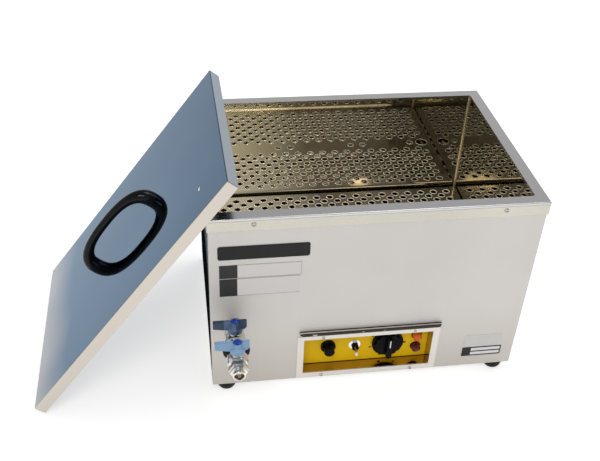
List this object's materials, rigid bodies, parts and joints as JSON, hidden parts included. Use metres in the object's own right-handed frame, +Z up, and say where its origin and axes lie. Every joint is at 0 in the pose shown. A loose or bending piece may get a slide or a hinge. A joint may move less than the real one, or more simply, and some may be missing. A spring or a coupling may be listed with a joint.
{
  "type": "baby bottle sterilizer",
  "caption": "Rectangular sheet steel hot water sterilizer with a perforated floor plate, recessed controls, a valved drain spout and a loose lid leaning on the rim.",
  "frame": {"origin": "middle of the base of the whole object's box, with the leaning lid and the drain spout counted, on the floor", "axes": "+Z up, +Y to the back, +X to the right seen from the front, along the tank's length"},
  "size_m": [0.8387, 0.512, 0.4442],
  "materials": {
    "tank_steel": "polished",
    "casing_steel": "fine grain",
    "lid_steel": "polished",
    "plate_steel": "polished, perforated",
    "inner_steel": "plain",
    "screw_steel": "bright",
    "blanket": "mineral fibre",
    "foot_rubber": "matte",
    "yellow_sheet": "satin",
    "black_plastic": "semi-gloss",
    "grey_plastic": "matte",
    "white_plastic": "gloss",
    "chrome_metal": "plated",
    "handle_blue": "gloss",
    "spring_steel": "wire",
    "amber_lens": "clear, tinted",
    "red_lens": "clear, tinted",
    "heater_sheath": "satin",
    "copper_line": "drawn",
    "brass_fitting": "machined",
    "valve_nickel": "nickel plated",
    "seat_plastic": "smooth",
    "seal_rubber": "satin",
    "cap_blue": "gloss",
    "label_film": "printed film",
    "badge_plate": "satin",
    "handle_black": "gloss"
  },
  "bodies": {
    "casing": {"tank": "tank_steel", "front_panel": "casing_steel", "side_panel_left": "casing_steel", "side_panel_right": "casing_steel", "rear_panel": "casing_steel", "base_plate": "inner_steel", "top_band": "casing_steel", "band_screws": "screw_steel", "tank_insulation": "blanket", "feet": "foot_rubber", "foot_fasteners": "screw_steel", "window_bezel": "casing_steel", "bezel_screws": "screw_steel", "drip_ledge": "casing_steel", "control_recess": "inner_steel", "control_plate": "yellow_sheet", "button_base": "black_plastic", "button_spring": "spring_steel", "toggle_body": "black_plastic", "toggle_nut": "chrome_metal", "thermostat_body": "grey_plastic", "dial_scale": "black_plastic", "thermostat_bulb": "copper_line", "thermostat_gland": "brass_fitting", "bulb_clips": "inner_steel", "lamp_lens_upper": "amber_lens", "lamp_lens_lower": "red_lens", "lamp_bodies": "black_plastic", "heater_element": "heater_sheath", "heater_bushings": "brass_fitting", "contactor": "black_plastic", "terminal_block": "grey_plastic", "cable_gland": "black_plastic", "drain_stub": "inner_steel", "drain_locknut": "brass_fitting", "valve_nipple": "brass_fitting", "valve_seal_ring": "seal_rubber", "valve_seats": "seat_plastic", "hose_nozzle": "valve_nickel", "name_plate": "badge_plate", "front_labels": "label_film", "rating_plate": "label_film", "notice_plate": "label_film", "valve_body_rear": "valve_nickel", "valve_body_front": "valve_nickel"},
    "lid": {"lid_pan": "lid_steel", "bow_handle": "handle_black", "bow_screws": "screw_steel"},
    "plate": {"perforated_plate": "plate_steel"},
    "dial": {"dial_knob": "black_plastic", "dial_pointer": "white_plastic", "dial_shaft": "inner_steel"},
    "toggle": {"toggle_lever": "chrome_metal"},
    "button": {"button_cap": "black_plastic"},
    "rear_valve": {"valve_handle_rear": "handle_blue", "valve_cap_rear": "cap_blue", "valve_core_rear": "chrome_metal"},
    "front_valve": {"valve_handle_front": "handle_blue", "valve_cap_front": "cap_blue", "valve_core_front": "chrome_metal"}
  },
  "joints": [
    {"name": "lid_lift", "type": "slide", "parent": "casing", "child": "lid", "axis": [0, 0, 1], "range_m": [0, 0.4]},
    {"name": "plate_lift", "type": "slide", "parent": "casing", "child": "plate", "axis": [0, 0, 1], "range_m": [0, 0.2]},
    {"name": "dial_turn", "type": "hinge", "parent": "casing", "child": "dial", "pos_m": [0.1907, -0.118, 0.07], "axis": [0, 1, 0], "range_deg": [0, 300]},
    {"name": "toggle_flip", "type": "hinge", "parent": "casing", "child": "toggle", "pos_m": [0.1317, -0.119, 0.07], "axis": [-1, 0, 0], "range_deg": [0, 24]},
    {"name": "button_press", "type": "slide", "parent": "casing", "child": "button", "axis": [0, 1, 0], "range_m": [0, 0.004], "stiffness_N_per_m": 300, "springref_m": -0.006, "deforming": ["button_spring"]},
    {"name": "rear_valve_turn", "type": "hinge", "parent": "casing", "child": "rear_valve", "pos_m": [-0.0813, -0.176, 0.158], "axis": [0, 0, -1], "range_deg": [0, 90]},
    {"name": "front_valve_turn", "type": "hinge", "parent": "casing", "child": "front_valve", "pos_m": [-0.0813, -0.2225, 0.158], "axis": [0, 0, 1], "range_deg": [0, 90]}
  ]
}
